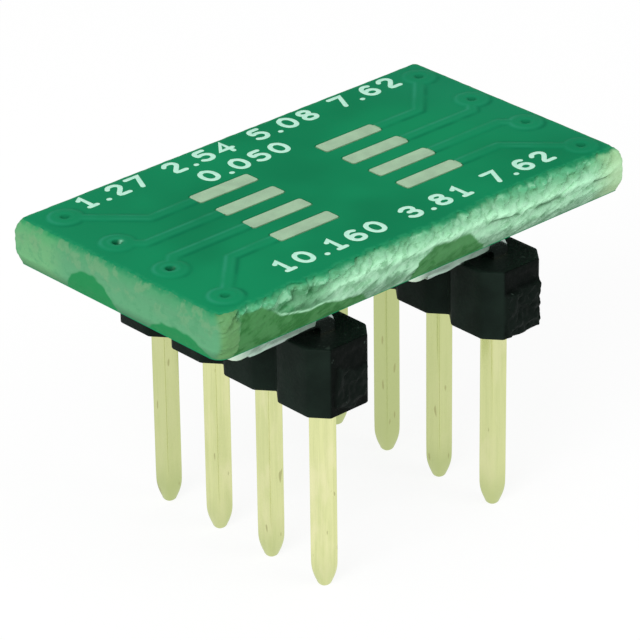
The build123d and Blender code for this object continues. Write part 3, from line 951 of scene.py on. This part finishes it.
def rounded_copy(node, name):
    """A copy of a CAD node's mesh, merged, cut along lines near the board's corners, and with the points
    there moved on to the corners' arcs."""
    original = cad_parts[node]
    work = bmesh.new()
    work.from_mesh(original.data)
    work.transform(original.matrix_world)
    bmesh.ops.remove_doubles(work, verts=work.verts, dist=1e-7)
    low, high = node_box(node)
    for radius in (BACK_CORNER, FRONT_LEFT_CORNER, FRONT_RIGHT_CORNER):
        for inset in radius * np.array([1.0, 0.75, 0.5, 0.25]):
            for axis in range(2):
                across = Vector([float(k == axis) for k in range(3)])
                for place in (low[axis] + inset, high[axis] - inset):
                    everything = work.verts[:] + work.edges[:] + work.faces[:]
                    on_line = across * place * MM
                    bmesh.ops.bisect_plane(work, geom=everything, plane_co=on_line, plane_no=across)
    bmesh.ops.dissolve_degenerate(work, dist=1e-6, edges=work.edges)
    mesh = bpy.data.meshes.new(name)
    work.to_mesh(mesh)
    work.free()
    points = np.empty(len(mesh.vertices) * 3)
    mesh.vertices.foreach_get("co", points)
    points = points.reshape(-1, 3) / MM
    x, y = points[:, 0], points[:, 1]
    centre, half = (low + high) / 2, (high - low) / 2
    radius = corner_radius(x, y)
    moves, _ = round_corner(half[0] - np.abs(x - centre[0]), half[1] - np.abs(y - centre[1]), radius)
    x -= np.sign(x - centre[0]) * moves[0]
    y -= np.sign(y - centre[1]) * moves[1]
    mesh.vertices.foreach_set("co", (points * MM).ravel())
    return mesh


def inside_outline(across, height, outline):
    """Distance from points to a closed outline, above zero inside it."""
    corners = np.array(outline)
    nearest = np.full(across.shape, np.inf)
    inside = np.zeros(across.shape, bool)
    for (ax, ay), (bx, by) in zip(corners, np.roll(corners, -1, axis=0)):
        nearest = np.minimum(nearest, off_segment(across, height, (ax, ay), (bx, by)))
        if ay != by:
            crossing = (ay > height) != (by > height)
            inside ^= crossing & (across < (bx - ax) * (height - ay) / (by - ay) + ax)
    return np.where(inside, nearest, -nearest)


def strip_outline(half, wide, neck):
    """Points round the chained eight-sided blocks, and for each -1 or 1 where it lies on the front or the
    back end and 0 elsewhere."""
    right = []
    for k in range(PINS_PER_ROW):
        start = -half + k * PIN_PITCH
        right += [(neck, start), (wide, start + NOTCH_LENGTH), (wide, start + PIN_PITCH - NOTCH_LENGTH)]
    right.append((neck, half))
    corners = np.array(right + [(-x, -y) for x, y in right])
    outline, end = [], []
    for a, b in zip(corners, np.roll(corners, -1, axis=0)):
        on_end = a[1] == b[1]
        soft = STRIP_CORNER / hypot(*(b - a))
        shares = np.linspace(soft, 1 - soft, END_POINTS if on_end else SIDE_POINTS)
        outline.append(a + (b - a) * shares[:, None])
        end.append(np.full(shares.size, np.sign(a[1]) if on_end else 0.0))
    return np.concatenate(outline), np.concatenate(end)


def strip_surface(name, row_x, front_stub, back_stub, rounding):
    """A plastic strip: rings up its chained eight-sided outline. The rims are quarter rounds, the ends
    are pushed out over the stub's outline and roughened, and each end ring runs in to the row's line."""
    low, high = node_box(name)
    bottom, top = low[2], high[2]
    half = PIN_PITCH * PINS_PER_ROW / 2
    neck = PIN_PITCH / 2 - NOTCH_DEPTH
    outline, end = strip_outline(half, PIN_PITCH / 2, neck)
    ahead, behind = np.roll(outline, -1, axis=0) - outline, outline - np.roll(outline, 1, axis=0)
    ahead /= np.linalg.norm(ahead, axis=1)[:, None]
    behind /= np.linalg.norm(behind, axis=1)[:, None]
    way = ahead + behind
    way = np.stack([way[:, 1], -way[:, 0]], -1)
    way /= np.linalg.norm(way, axis=1)[:, None]
    bend = np.linspace(0, pi / 2, 4)
    rise, pull = rounding * (1 - np.sin(bend)), rounding * (1 - np.cos(bend))
    middle = np.linspace(bottom + rounding, top - rounding, STRIP_RINGS)[1:-1]
    levels = np.concatenate([bottom + rise[::-1], middle, top - rise])
    pull = np.concatenate([pull[::-1], 0 * middle, pull])
    flat = outline[None] - way[None] * pull[:, None, None]
    points = np.concatenate([flat, np.broadcast_to(levels[:, None, None], (*flat.shape[:2], 1))], -1)
    height = (levels - bottom)[:, None] / (top - bottom) + 0 * points[..., 0]
    end_width, end_height = 2 * neck, top - bottom
    torn = np.zeros(points.shape[:2])
    for sign, (stub, depth) in ((-1, front_stub), (1, back_stub)):
        on_end = (end == sign)[None, :]
        across = points[..., 0] / end_width
        stub = [(a * end_width, h * end_height) for a, h in stub]
        inside = inside_outline(across * end_width, height * end_height, stub)
        inside = inside + 0.05 * rough(points, STUB_WAVE, 61, 2)
        proud = smooth(-0.02, 0.05, inside)
        chips = rough(points, STUB_CHIPS, 67, 3)
        push = depth * proud * (1.0 + 0.35 * chips) + STUB_FLAW * chips
        fade = smooth(0.0, 0.06, 0.5 - np.abs(across)) * smooth(0.0, 0.04, np.minimum(height, 1 - height))
        points[..., 1] += np.where(on_end, sign * push * fade, 0)
        # the ends darken, partly as broken surface and partly as painted shade, most where they stand back
        torn = np.where(on_end, np.maximum(torn, 0.95 - 0.4 * proud), torn)
    spine = np.stack([0 * outline[:, 0], np.clip(outline[:, 1], -half + 0.3, half - 0.3)], -1)
    caps = []
    for edge in (points[0], points[-1]):
        inner = np.concatenate([spine, edge[:, 2:]], -1)
        caps.append((edge + (inner - edge) * CAP_SHARE, inner))
    (low_near, low_inner), (high_near, high_inner) = caps
    points = np.stack([low_inner, low_near, *points, high_near, high_inner])
    # the bottom caps stay plain; the top caps get painted shade, as under the board
    torn = np.concatenate([0 * torn[:2], torn, 0 * torn[:2] + 0.6])
    return points + (row_x, 0, 0), {"torn": torn}


def wire_section():
    """Directions round a square, close together at its corners: the tangent of the angle is even."""
    share = np.array([-1, -0.975, -0.94, -0.88, -0.6, -0.2, 0.2, 0.6, 0.88, 0.94, 0.975])
    return np.concatenate([np.arctan(share) + k * pi / 2 for k in range(4)])


def pin_surface(channel, settings):
    """A pin: a soft-cornered square section carried up the shank, round the bend and along the foot.
    The section is a curve with |a|^n + |b|^n = h^n. Towards the tip the half width h follows the
    coined arc and then the nose's ellipse, and n falls, so that the corners round off."""
    nose, half, lip = in_mm(settings.nose_length), PIN_SIDE / 2, PIN_END_ROUND
    straight = node_box(f"pin_{channel.number}")[1][2] - half - BEND_RADIUS
    bent = straight + BEND_RADIUS * pi / 2
    round_end = np.linspace(0, pi / 2, 4)
    s = np.concatenate([
        [0, 0],
        nose * (1 - np.cos(np.linspace(0, pi / 2, 6))),
        np.linspace(nose, TIP_LENGTH, 12)[1:],
        np.linspace(TIP_LENGTH, straight, 22)[1:],
        np.linspace(straight, bent, 14)[1:],
        bent + np.linspace(0, FOOT_REACH - BEND_RADIUS, 9)[1:],
    ])
    inset = half - TIP_SIDE / 2
    coin = (TIP_LENGTH**2 + inset**2) / (2 * inset)
    h = half - coin + np.sqrt(coin**2 - np.clip(TIP_LENGTH - s, 0, None) ** 2)
    h -= TIP_BEVEL * (1 - np.sqrt(np.clip(1 - np.clip(1 - s / nose, 0, 1) ** 2, 0, 1)))
    h[:2] = 0, h[2] * 0.6
    power = NOSE_POWER + (TIP_POWER - NOSE_POWER) * smooth(0.0, 0.7, s)
    power += (SHANK_POWER - TIP_POWER) * smooth(0.3, 1.3, s)
    end = s[-1]
    s = np.concatenate([s[:-1], end - lip + lip * np.sin(round_end), [end, end]])
    h = np.concatenate([h[:-1], half - lip + lip * np.cos(round_end), [half * 0.5, 0.0]])
    power = np.concatenate([power[:-1], np.full(6, SHANK_POWER)])[:, None]
    turn = np.clip((s - straight) / BEND_RADIUS, 0, pi / 2)
    along = BEND_RADIUS * (1 - np.cos(turn)) + np.clip(s - bent, 0, None)
    up = np.minimum(s, straight) + BEND_RADIUS * np.sin(turn)
    angle = wire_section()
    ring = (np.abs(np.cos(angle)) ** power + np.abs(np.sin(angle)) ** power) ** (-1 / power)
    a = h[:, None] * ring * np.cos(angle)
    b = h[:, None] * ring * np.sin(angle)
    x = along[:, None] - a * np.cos(turn)[:, None]
    z = up[:, None] + a * np.sin(turn)[:, None]
    points = np.stack([channel.pin[0] + channel.foot * x, channel.pin[1] + b, z], -1)
    # painted shade of this pin, growing towards the tip
    tarnish = np.clip(PIN_SHADE[channel.number] + 0.4 * (1 - smooth(0.2, 1.6, s)), 0, 1)
    values = {
        "across": a + 10.0 * channel.number,  # so that each pin has its own streaks
        "sideways": b,
        "along": s[:, None] + 0 * a,
        # tin on the bend and the foot, whose colour also carries painted shade
        "tinned": smooth(straight - 0.15, straight, s)[:, None] + 0 * a,
        "tarnish": tarnish[:, None] + 0 * a,
    }
    return points, values


def solder_surface(channel):
    """A fillet: a closed profile carried round the foot's outline. From the pad's rim it rises to the
    foot's flank along a power curve, hollow as wetted solder is, then goes back up the flank and in."""
    pad_z = node_box(f"pin_{channel.number}")[1][2] + SOLDER_FILM
    angle = np.linspace(0, 2 * pi, SOLDER_POINTS, endpoint=False)
    heel = BEND_RADIUS

    def ring(reach, half_width, power):
        """A soft-cornered rectangle from the heel to its reach."""
        r = (np.abs(np.cos(angle)) ** power + np.abs(np.sin(angle)) ** power) ** (-1 / power)
        middle, length = (reach + heel) / 2, (reach - heel) / 2
        return np.stack([middle + length * r * np.cos(angle), half_width * r * np.sin(angle)], -1)

    toe_end = FOOT_REACH + SOLDER_TOE
    flank = ring(FOOT_REACH + SOLDER_SKIN, PIN_SIDE / 2 + SOLDER_SKIN, FLANK_POWER)
    rim = ring(toe_end, FOOT_PAD_WIDTH / 2 - SOLDER_EDGE, RIM_POWER)
    inner = ring(FOOT_REACH, PIN_SIDE / 2, INNER_POWER)
    t = np.linspace(0, 1, SOLDER_RINGS)[:, None]
    wave = 1 + 0.07 * np.sin(3 * angle + channel.number) + 0.05 * np.sin(7 * angle + 2 * channel.number)
    skirt = flank + (rim - flank) * (1 - t[..., None]) ** SOLDER_HOLLOW
    swell = bell(rim[:, 0], toe_end, 0.7) * np.sin(pi * np.clip(t * 1.6, 0, 1)) ** 0.7
    fall = SOLDER_CLIMB * t**0.9 * wave + SOLDER_BULGE * swell
    centre = np.stack([np.clip(flank[:, 0], heel + 0.3, FOOT_REACH - 0.3), 0 * angle], -1)
    flat = np.stack([centre, *skirt, inner, inner, centre])
    under_foot = np.full((1, angle.size), 0.02)
    drop = np.concatenate([0 * fall[:1], fall, fall[-1:], under_foot, under_foot])
    x = channel.pin[0] + channel.foot * flat[..., 0]
    points = np.stack([x, channel.pin[1] + flat[..., 1], pad_z - drop], -1)
    # toe holds the share of the painted highlight on the toe
    return points, {"toe": bell(flat[..., 0], toe_end, 0.6)}


def rounded_path(path):
    """A stroke's points with its corners cut twice, where it is a curve and not a few straight runs."""
    path = np.array(path, float)
    for _ in range(2 if len(path) > 5 else 0):
        ahead = path[:-1] * 0.75 + path[1:] * 0.25
        behind = path[:-1] * 0.25 + path[1:] * 0.75
        path = np.concatenate([path[:1], np.stack([ahead, behind], 1).reshape(-1, 2), path[-1:]])
    return path


def stroke_surface(path, width, z):
    """One stroke of ink: a ribbon with round ends, as rings from the path out to its outline and back.
    The outline is the path moved half a width to both sides, with a half circle at each end, and the
    ribbon climbs a little along its length, so that it never lies in its own plane where it crosses."""
    path = rounded_path(path)
    runs = np.diff(path, axis=0)
    runs /= np.linalg.norm(runs, axis=1)[:, None]
    before, after = np.concatenate([runs[:1], runs]), np.concatenate([runs, runs[-1:]])
    way = before + after
    way /= np.linalg.norm(way, axis=1)[:, None]
    widening = 1 / np.clip((way * after).sum(axis=1), 0.6, 1)
    side = np.stack([-way[:, 1], way[:, 0]], -1) * widening[:, None]
    turn = np.linspace(0, pi, 9)[1:-1, None]
    end_cap = np.cos(turn) * side[-1] + np.sin(turn) * way[-1]
    start_cap = -np.cos(turn) * side[0] - np.sin(turn) * way[0]
    out = np.concatenate([side, end_cap, -side[::-1], start_cap]) * width / 2
    last = np.full(len(turn), len(path) - 1)
    index = np.concatenate([np.arange(len(path)), last, np.arange(len(path))[::-1], 0 * last])
    base = z + STROKE_CLIMB * index / len(path)
    rings = []
    for share, height in INK_SECTION:
        flat = path[index] + share * out
        rings.append(np.concatenate([flat, (base + INK_THICKNESS * height)[:, None]], -1))
    return np.concatenate(rings), band_faces(len(rings), len(index))


def numeral_surfaces(settings):
    """Every stroke of every numeral in the printed rows, as points and faces, each stroke of a numeral a
    hair higher than the one before."""
    z = node_box("board_core")[1][2] + MASK_FILM - INK_SINK
    across, up = in_mm(settings.numeral_width) / CELL_WIDTH, in_mm(settings.numeral_height) / CELL_HEIGHT
    for text, (x, y) in PRINT_ROWS:
        for letter in text:
            for k, stroke in enumerate(STROKES.get(letter, [])):
                path = [(x + across * px, y + up * py) for px, py in stroke]
                yield stroke_surface(path, in_mm(settings.stroke_width), z + STROKE_STEP * k)
            x += in_mm(settings.advance) * NARROW.get(letter, 1)


def colour_setting(name, description, default):
    """A colour that a user would change."""
    return FloatVectorProperty(name=name, description=description, subtype="COLOR", size=3, default=default)


def length_setting(name, description, default):
    """A length that a user would change, in metres."""
    return FloatProperty(name=name, description=description, unit="LENGTH", precision=5, default=default)


class BoardSettings(bpy.types.PropertyGroup):
    """Colours and edge sizes of the board."""

    mask_colour: colour_setting("Mask", "Colour of the green film", (0.0074, 0.23, 0.094))
    cut_colour: colour_setting("Cut edge", "Colour of the three smooth edges", (0.115, 0.357, 0.181))
    snapped_colour: colour_setting("Snapped edge", "Colour of the front edge", (0.38, 0.7, 0.46))
    pad_colour: colour_setting("Pads", "Colour of the bare pads", (0.315, 0.5, 0.315))
    rim_chips: length_setting("Rim chips", "Depth of the chips along the rim", 0.00014)
    web_roughness: length_setting("Web roughness", "Depth of the torn fibres", 0.0001)
    dimple_depth: length_setting("Dimple depth", "How far the mask sags over a hole", 0.00025)


class HeaderSettings(bpy.types.PropertyGroup):
    """Colours and roundings of the strips, pins and solder."""

    plastic_colour: colour_setting("Plastic", "Colour of the strips", (0.0078, 0.0145, 0.0108))
    pin_colour: colour_setting("Pins", "Colour of the pins", (0.78, 0.8, 0.4))
    solder_colour: colour_setting("Solder", "Colour of the solder", (0.47, 0.66, 0.54))
    edge_rounding: length_setting("Edge rounding", "Radius of the strips' rims", 0.00005)
    nose_length: length_setting("Nose length", "Length of a pin's round nose", 0.00006)


class PrintSettings(bpy.types.PropertyGroup):
    """Colour and sizes of the printed numerals."""

    print_colour: colour_setting("Print", "Colour of the numerals", (0.55, 0.88, 0.72))
    numeral_height: length_setting("Numeral height", "Height of a numeral's strokes", 0.0007)
    numeral_width: length_setting("Numeral width", "Width of a numeral's strokes", 0.00052)
    advance: length_setting("Advance", "From one numeral to the next", 0.00087)
    stroke_width: length_setting("Stroke width", "Width of a stroke", 0.00017)


class StageSettings(bpy.types.PropertyGroup):
    """Light and floor."""

    sky: FloatProperty(name="Sky", description="Brightness of the light from all round", default=0.62, min=0)
    key: FloatProperty(
        name="Key", description="Power of the soft key light", default=0.16, min=0, unit="POWER"
    )
    floor_shade: FloatProperty(
        name="Floor shade", description="How strongly the object's shadow shows", default=0.16, min=0, max=1,
        subtype="FACTOR",
    )


class BOARD_OT_laminate(bpy.types.Operator):
    """Builds the laminate with its snapped edge and drills its holes"""

    bl_idname = "board.laminate"
    bl_label = "Laminate"

    def execute(self, context):
        settings = context.scene.board_settings
        material = laminate_material(settings.cut_colour, settings.snapped_colour, settings.mask_colour)
        piece = make_rings("laminate", *laminate_surface(settings), material, "laminate", "board_core")
        low, high = node_box("board_core")
        drill(piece, [channel.via for channel in CHANNELS], VIA_DRILL / 2, low[2], high[2])
        return {"FINISHED"}


class BOARD_OT_mask(bpy.types.Operator):
    """Builds the upper mask, and the lower one as a rounded copy of its solid"""

    bl_idname = "board.mask"
    bl_label = "Solder mask"

    def execute(self, context):
        settings = context.scene.board_settings
        material = mask_material(settings.mask_colour)
        points, faces, values = mask_surface(settings)
        make_piece("mask_film", points, faces, material, "solder_mask", ["top_mask"], values)
        lower = bpy.data.objects.new("lower_mask_film", rounded_copy("bottom_mask", "lower_mask_film"))
        join_board(lower, material, "solder_mask", ["bottom_mask"])
        return {"FINISHED"}


class BOARD_OT_copper(bpy.types.Operator):
    """Finishes the eight copper channels"""

    bl_idname = "board.copper"
    bl_label = "Copper"

    def execute(self, context):
        material = pad_material(context.scene.board_settings.pad_colour)
        dress([f"copper_{channel.number}" for channel in CHANNELS], material)
        return {"FINISHED"}


class BOARD_OT_strips(bpy.types.Operator):
    """Builds the two plastic strips"""

    bl_idname = "board.strips"
    bl_label = "Plastic strips"

    def execute(self, context):
        settings = context.scene.header_settings
        material = plastic_material(settings.plastic_colour)
        for name, side, front, back in STRIP_ROWS:
            node = f"pin_strip_{name}"
            surface = strip_surface(node, side * ROW_SPACING / 2, front, back, in_mm(settings.edge_rounding))
            make_rings(f"strip_{name}", *surface, material, "strip_plastic", node, 30)
        return {"FINISHED"}


class BOARD_OT_pins(bpy.types.Operator):
    """Builds the eight bent pins"""

    bl_idname = "board.pins"
    bl_label = "Pins"

    def execute(self, context):
        settings = context.scene.header_settings
        material = pin_material(settings.pin_colour)
        for channel in CHANNELS:
            name, node = f"wire_{channel.number}", f"pin_{channel.number}"
            make_rings(name, *pin_surface(channel, settings), material, "pin_metal", node, 60)
        return {"FINISHED"}


class BOARD_OT_solder(bpy.types.Operator):
    """Builds the solder fillet round each foot"""

    bl_idname = "board.solder"
    bl_label = "Solder"

    def execute(self, context):
        material = solder_material(context.scene.header_settings.solder_colour)
        for channel in CHANNELS:
            name, node = f"fillet_{channel.number}", f"solder_{channel.number}"
            make_rings(name, *solder_surface(channel), material, "solder", node, 50)
        return {"FINISHED"}


class BOARD_OT_numerals(bpy.types.Operator):
    """Prints the rows of plain numbers on the upper face"""

    bl_idname = "board.numerals"
    bl_label = "Numerals"

    def execute(self, context):
        settings = context.scene.print_settings
        material = print_material(settings.print_colour)
        points, faces = zip(*numeral_surfaces(settings))
        starts = np.cumsum([0] + [len(stroke) for stroke in points[:-1]])
        faces = np.concatenate([quads + start for quads, start in zip(faces, starts)])
        make_piece("numerals", np.concatenate(points), faces, material, "solder_mask")
        return {"FINISHED"}


def soft_light(name, place, size, power):
    """A square area light that faces the middle of the object."""
    lamp = bpy.data.lights.new(name, "AREA")
    lamp.size = size * MM
    lamp.energy = power
    light = bpy.data.objects.new(name, lamp)
    light.location = Vector(place) * MM
    way = (Vector(LIGHT_AIM) - Vector(place)).normalized()
    light.rotation_euler = way.to_track_quat("-Z", "Y").to_euler()
    bpy.context.scene.collection.objects.link(light)


def background_share(recipe):
    """1 for rays that should see the plain white background, 0 for rays that carry light."""
    ray = recipe.node("ShaderNodeLightPath", out="Is Camera Ray")
    outputs = ray.socket.node.outputs
    seen = ray + Shade(recipe, outputs["Is Glossy Ray"]) + Shade(recipe, outputs["Is Transmission Ray"])
    return seen.math("MINIMUM", 1.0)


def aim_camera(scene):
    """Puts the camera at the photo's place, looking along its turn, tilt and roll."""
    turn, tilt, roll = radians(TURN), radians(TILT), radians(ROLL)
    ahead = Vector((sin(turn) * cos(tilt), cos(turn) * cos(tilt), -sin(tilt)))
    right = Vector((cos(turn), -sin(turn), 0))
    up = right.cross(ahead)
    image_right = right * cos(roll) + up * sin(roll)
    image_up = up * cos(roll) - right * sin(roll)
    camera = bpy.data.cameras.new("view")
    camera.sensor_width = SENSOR_WIDTH
    camera.lens = FOCAL_PIXELS / IMAGE_PIXELS * SENSOR_WIDTH
    camera.clip_start = MM
    holder = bpy.data.objects.new("view", camera)
    axes = Matrix((image_right, image_up, -ahead)).transposed()
    holder.matrix_world = Matrix.Translation(Vector(EYE) * MM) @ axes.to_4x4()
    scene.collection.objects.link(holder)
    scene.camera = holder


def lay_floor(scene, shade):
    """A flat grid under the object, white to the camera but for a share of the object's shadow."""
    line = np.linspace(-1, 1, FLOOR_LINES) * FLOOR_REACH * MM
    x, y = np.meshgrid(line, line, indexing="ij")
    i, j = np.meshgrid(np.arange(FLOOR_LINES - 1), np.arange(FLOOR_LINES - 1), indexing="ij")
    first, second = i * FLOOR_LINES + j, (i + 1) * FLOOR_LINES + j
    quads = np.stack([first, second, second + 1, first + 1], -1).reshape(-1, 4)
    mesh = bpy.data.meshes.new("floor")
    mesh.from_pydata(np.stack([x, y, 0 * x], -1).reshape(-1, 3).tolist(), [], quads.tolist())
    floor = bpy.data.objects.new("floor", mesh)
    scene.collection.objects.link(floor)
    paint = new_recipe("white_floor")
    card = paint.node("ShaderNodeBsdfDiffuse", None, {"Color": FLOOR_COLOUR})
    white = paint.node("ShaderNodeEmission", None, {"Color": WHITE, "Strength": FLOOR_SEEN})
    lit = background_share(paint) * (1 - shade)
    both = paint.node("ShaderNodeMixShader", None, {0: lit, 1: card, 2: white})
    paint.node("ShaderNodeOutputMaterial", None, {"Surface": both})
    mesh.materials.append(paint.owner)


class BOARD_OT_stage(bpy.types.Operator):
    """Sets up the camera, the soft light, the floor and the white background"""

    bl_idname = "board.stage"
    bl_label = "Stage"

    def execute(self, context):
        scene = context.scene
        settings = scene.stage_settings
        scene.view_settings.view_transform = "Standard"
        aim_camera(scene)
        for name, place, size, share in LIGHTS:
            soft_light(name, place, size, settings.key * share)
        scene.world = bpy.data.worlds.new("studio")
        sky = Recipe(scene.world)
        strengths = {0: background_share(sky), 2: settings.sky, 3: SKY_SEEN}
        level = sky.node("ShaderNodeMix", {"data_type": "FLOAT"}, strengths)
        shine = sky.node("ShaderNodeBackground", None, {"Color": WHITE, "Strength": level})
        sky.node("ShaderNodeOutputWorld", None, {"Surface": shine})
        lay_floor(scene, settings.floor_shade)
        return {"FINISHED"}


class BOARD_PT_sidebar(bpy.types.Panel):
    """Lists the steps and their settings in the sidebar"""

    bl_idname = "BOARD_PT_sidebar"
    bl_label = "Adapter Board"
    bl_space_type = "VIEW_3D"
    bl_region_type = "UI"
    bl_category = "Adapter Board"

    def draw(self, context):
        for operator in OPERATORS:
            self.layout.operator(operator.bl_idname)
        for name in SETTINGS:
            box = self.layout.box()
            group = getattr(context.scene, name)
            for key in group.__annotations__:
                box.prop(group, key)


OPERATORS = (
    BOARD_OT_stage,
    BOARD_OT_laminate,
    BOARD_OT_mask,
    BOARD_OT_copper,
    BOARD_OT_strips,
    BOARD_OT_pins,
    BOARD_OT_solder,
    BOARD_OT_numerals,
)
SETTINGS = {
    "board_settings": BoardSettings,
    "header_settings": HeaderSettings,
    "print_settings": PrintSettings,
    "stage_settings": StageSettings,
}


def register():
    """Adds the settings, the steps and the panel."""
    for name, group in SETTINGS.items():
        bpy.utils.register_class(group)
        setattr(bpy.types.Scene, name, PointerProperty(type=group))
    for operator in OPERATORS:
        bpy.utils.register_class(operator)
    bpy.utils.register_class(BOARD_PT_sidebar)


def unregister():
    """Takes the panel, the steps and the settings out again."""
    bpy.utils.unregister_class(BOARD_PT_sidebar)
    for operator in reversed(OPERATORS):
        bpy.utils.unregister_class(operator)
    for name, group in SETTINGS.items():
        delattr(bpy.types.Scene, name)
        bpy.utils.unregister_class(group)


def main():
    """Registers the add-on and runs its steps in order."""
    register()
    for operator in OPERATORS:
        group, step = operator.bl_idname.split(".")
        getattr(getattr(bpy.ops, group), step)()


if __name__ == "__main__":
    main()
